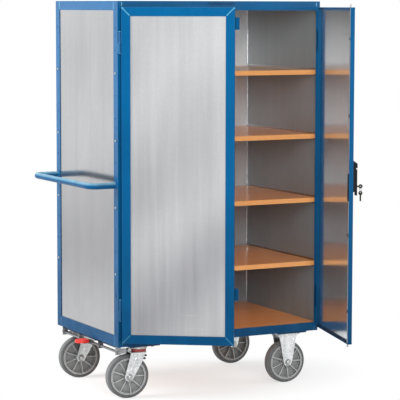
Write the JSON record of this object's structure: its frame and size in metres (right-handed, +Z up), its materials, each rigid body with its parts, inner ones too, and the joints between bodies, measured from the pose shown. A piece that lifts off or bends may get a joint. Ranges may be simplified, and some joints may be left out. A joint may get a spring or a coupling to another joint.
{
  "type": "cabinet trolley",
  "caption": "Tall lockable cabinet trolley with angle-steel frame, galvanised walls, wooden shelves, rod-locked double doors, push handle and castors with a foot brake.",
  "frame": {"origin": "on the floor under the middle of the cabinet's footprint", "axes": "+Z up, -X towards the push handle, -Y towards the doors"},
  "size_m": [1.1794, 1.2013, 1.8],
  "materials": {
    "blue_paint": "smooth semi-gloss powder coat",
    "blue_hinge": "semi-gloss powder coat over turned steel",
    "under_steel": "dark powder coat",
    "galvanised": "zinc-coated sheet, satin",
    "support_steel": "zinc-coated steel",
    "closing_steel": "semi-gloss powder coat",
    "beech_board": "beech-coloured board, satin",
    "zinc_screws": "bright zinc plating",
    "pin_steel": "turned steel",
    "zinc_castor": "bright zinc plating",
    "zinc_axle": "bright zinc plating",
    "red_seal": "moulded",
    "red_pedal": "powder coat",
    "zinc_brake": "bright zinc plating",
    "grey_rim": "moulded, dull",
    "grey_tyre": "grey elastic rubber",
    "black_lock": "black, fine-grained",
    "lock_cover": "dark coated sheet",
    "rod_steel": "zinc-plated round bar",
    "cylinder_steel": "nickel plated",
    "key_steel": "nickel plated"
  },
  "bodies": {
    "cabinet": {"corner_posts": "blue_paint", "base_rails": "blue_paint", "top_rails": "blue_paint", "roof_panel": "blue_paint", "push_handle": "blue_paint", "keepers": "blue_paint", "frame_knuckles": "blue_hinge", "cross_members": "under_steel", "end_panels": "galvanised", "back_panel": "galvanised", "shelf_supports": "support_steel", "floor_board": "beech_board", "shelves": "beech_board", "shelf_screws": "zinc_screws", "shelf_nuts": "zinc_screws", "handle_bolts": "zinc_screws", "castor_bolts": "zinc_screws", "castor_nuts": "zinc_screws", "hinge_pins": "pin_steel", "kingpins": "pin_steel", "swivel_heads": "zinc_castor", "fixed_brackets": "zinc_castor", "fixed_axles": "zinc_axle", "brake_brackets": "zinc_brake"},
    "left_door": {"left_door_frame": "blue_paint", "left_door_sheet": "galvanised", "left_door_knuckles": "blue_hinge", "closing_tabs": "closing_steel"},
    "right_door": {"right_door_frame": "blue_paint", "right_door_sheet": "galvanised", "right_door_knuckles": "blue_hinge", "lock_plate": "black_lock", "lock_cover": "lock_cover", "rod_guides": "rod_steel"},
    "lock_hub": {"lock_hub": "black_lock"},
    "lock_lever": {"lock_lever": "black_lock"},
    "key": {"key_cylinder": "cylinder_steel", "inserted_key": "key_steel"},
    "spare_key": {"spare_key": "key_steel"},
    "upper_rod": {"upper_rod": "rod_steel"},
    "lower_rod": {"lower_rod": "rod_steel"},
    "near_fork": {"near_fork": "zinc_castor", "near_swivel_seal": "red_seal", "near_swivel_axle": "zinc_axle"},
    "far_fork": {"far_fork": "zinc_castor", "far_swivel_seal": "red_seal", "far_swivel_axle": "zinc_axle"},
    "near_shoe": {"near_brake_shoe": "zinc_brake"},
    "far_shoe": {"far_brake_shoe": "zinc_brake"},
    "brake": {"brake_shaft": "zinc_brake", "brake_pedal": "red_pedal"},
    "near_swivel_wheel": {"near_swivel_rim": "grey_rim", "near_swivel_tyre": "grey_tyre"},
    "near_fixed_wheel": {"near_fixed_rim": "grey_rim", "near_fixed_tyre": "grey_tyre"},
    "far_swivel_wheel": {"far_swivel_rim": "grey_rim", "far_swivel_tyre": "grey_tyre"},
    "far_fixed_wheel": {"far_fixed_rim": "grey_rim", "far_fixed_tyre": "grey_tyre"}
  },
  "joints": [
    {"name": "left_door_swing", "type": "hinge", "parent": "cabinet", "child": "left_door", "pos_m": [-0.512, -0.356, 1], "axis": [0, 0, -1], "range_deg": [-34, 136]},
    {"name": "right_door_swing", "type": "hinge", "parent": "cabinet", "child": "right_door", "pos_m": [0.512, -0.356, 1], "axis": [0, 0, 1], "range_deg": [-75.4, 94.6]},
    {"name": "lever_turn", "type": "hinge", "parent": "right_door", "child": "lock_hub", "pos_m": [0.40668, -0.82975, 1.078], "axis": [0.9677, -0.2521, 0], "range_deg": [0, 90]},
    {"name": "lever_lift", "type": "hinge", "parent": "lock_hub", "child": "lock_lever", "pos_m": [0.41563, -0.83208, 1.066], "axis": [-0.2521, -0.9677, 0], "range_deg": [0, 35]},
    {"name": "key_turn", "type": "hinge", "parent": "lock_lever", "child": "key", "pos_m": [0.42458, -0.83441, 0.98], "axis": [0.9677, -0.2521, 0], "range_deg": [0, 90]},
    {"name": "spare_key_swing", "type": "hinge", "parent": "key", "child": "spare_key", "pos_m": [0.442, -0.83895, 0.9787], "axis": [-0.2521, -0.9677, 0], "range_deg": [-3, 35]},
    {"name": "upper_rod_slide", "type": "slide", "parent": "right_door", "child": "upper_rod", "axis": [0, 0, 1], "range_m": [0, 0.0141]},
    {"name": "lower_rod_slide", "type": "slide", "parent": "right_door", "child": "lower_rod", "axis": [0, 0, -1], "range_m": [0, 0.0141]},
    {"name": "brake_press", "type": "hinge", "parent": "cabinet", "child": "brake", "pos_m": [-0.5, 0, 0.22], "axis": [0, -1, 0], "range_deg": [0, 20]},
    {"name": "near_swivel", "type": "hinge", "parent": "cabinet", "child": "near_fork", "pos_m": [-0.385, -0.26849, 0.22], "axis": [0, 0, 1], "continuous": true},
    {"name": "near_swivel_roll", "type": "hinge", "parent": "near_fork", "child": "near_swivel_wheel", "pos_m": [-0.43879, -0.26379, 0.1], "axis": [0.0872, 0.9962, 0], "continuous": true},
    {"name": "near_fixed_roll", "type": "hinge", "parent": "cabinet", "child": "near_fixed_wheel", "pos_m": [0.385, -0.26849, 0.1], "axis": [0, 1, 0], "continuous": true},
    {"name": "near_shoe_swing", "type": "hinge", "parent": "near_fork", "child": "near_shoe", "pos_m": [-0.43282, -0.26431, 0.221], "axis": [-0.0872, -0.9962, 0], "range_deg": [0, 10.1]},
    {"name": "far_swivel", "type": "hinge", "parent": "cabinet", "child": "far_fork", "pos_m": [-0.385, 0.26849, 0.22], "axis": [0, 0, 1], "continuous": true},
    {"name": "far_swivel_roll", "type": "hinge", "parent": "far_fork", "child": "far_swivel_wheel", "pos_m": [-0.4386, 0.27508, 0.1], "axis": [0.1219, 0.9925, 0], "continuous": true},
    {"name": "far_fixed_roll", "type": "hinge", "parent": "cabinet", "child": "far_fixed_wheel", "pos_m": [0.385, 0.26849, 0.1], "axis": [0, 1, 0], "continuous": true},
    {"name": "far_shoe_swing", "type": "hinge", "parent": "far_fork", "child": "far_shoe", "pos_m": [-0.43264, 0.27434, 0.221], "axis": [-0.1219, -0.9925, 0], "range_deg": [0, 10.1]}
  ],
  "couplings": [
    {"joint": "upper_rod_slide", "follows": "lever_turn", "m_per_rad": 0.0089127},
    {"joint": "lower_rod_slide", "follows": "lever_turn", "m_per_rad": 0.0089127},
    {"joint": "near_shoe_swing", "follows": "brake_press", "ratio": 0.5},
    {"joint": "far_shoe_swing", "follows": "brake_press", "ratio": 0.5}
  ]
}
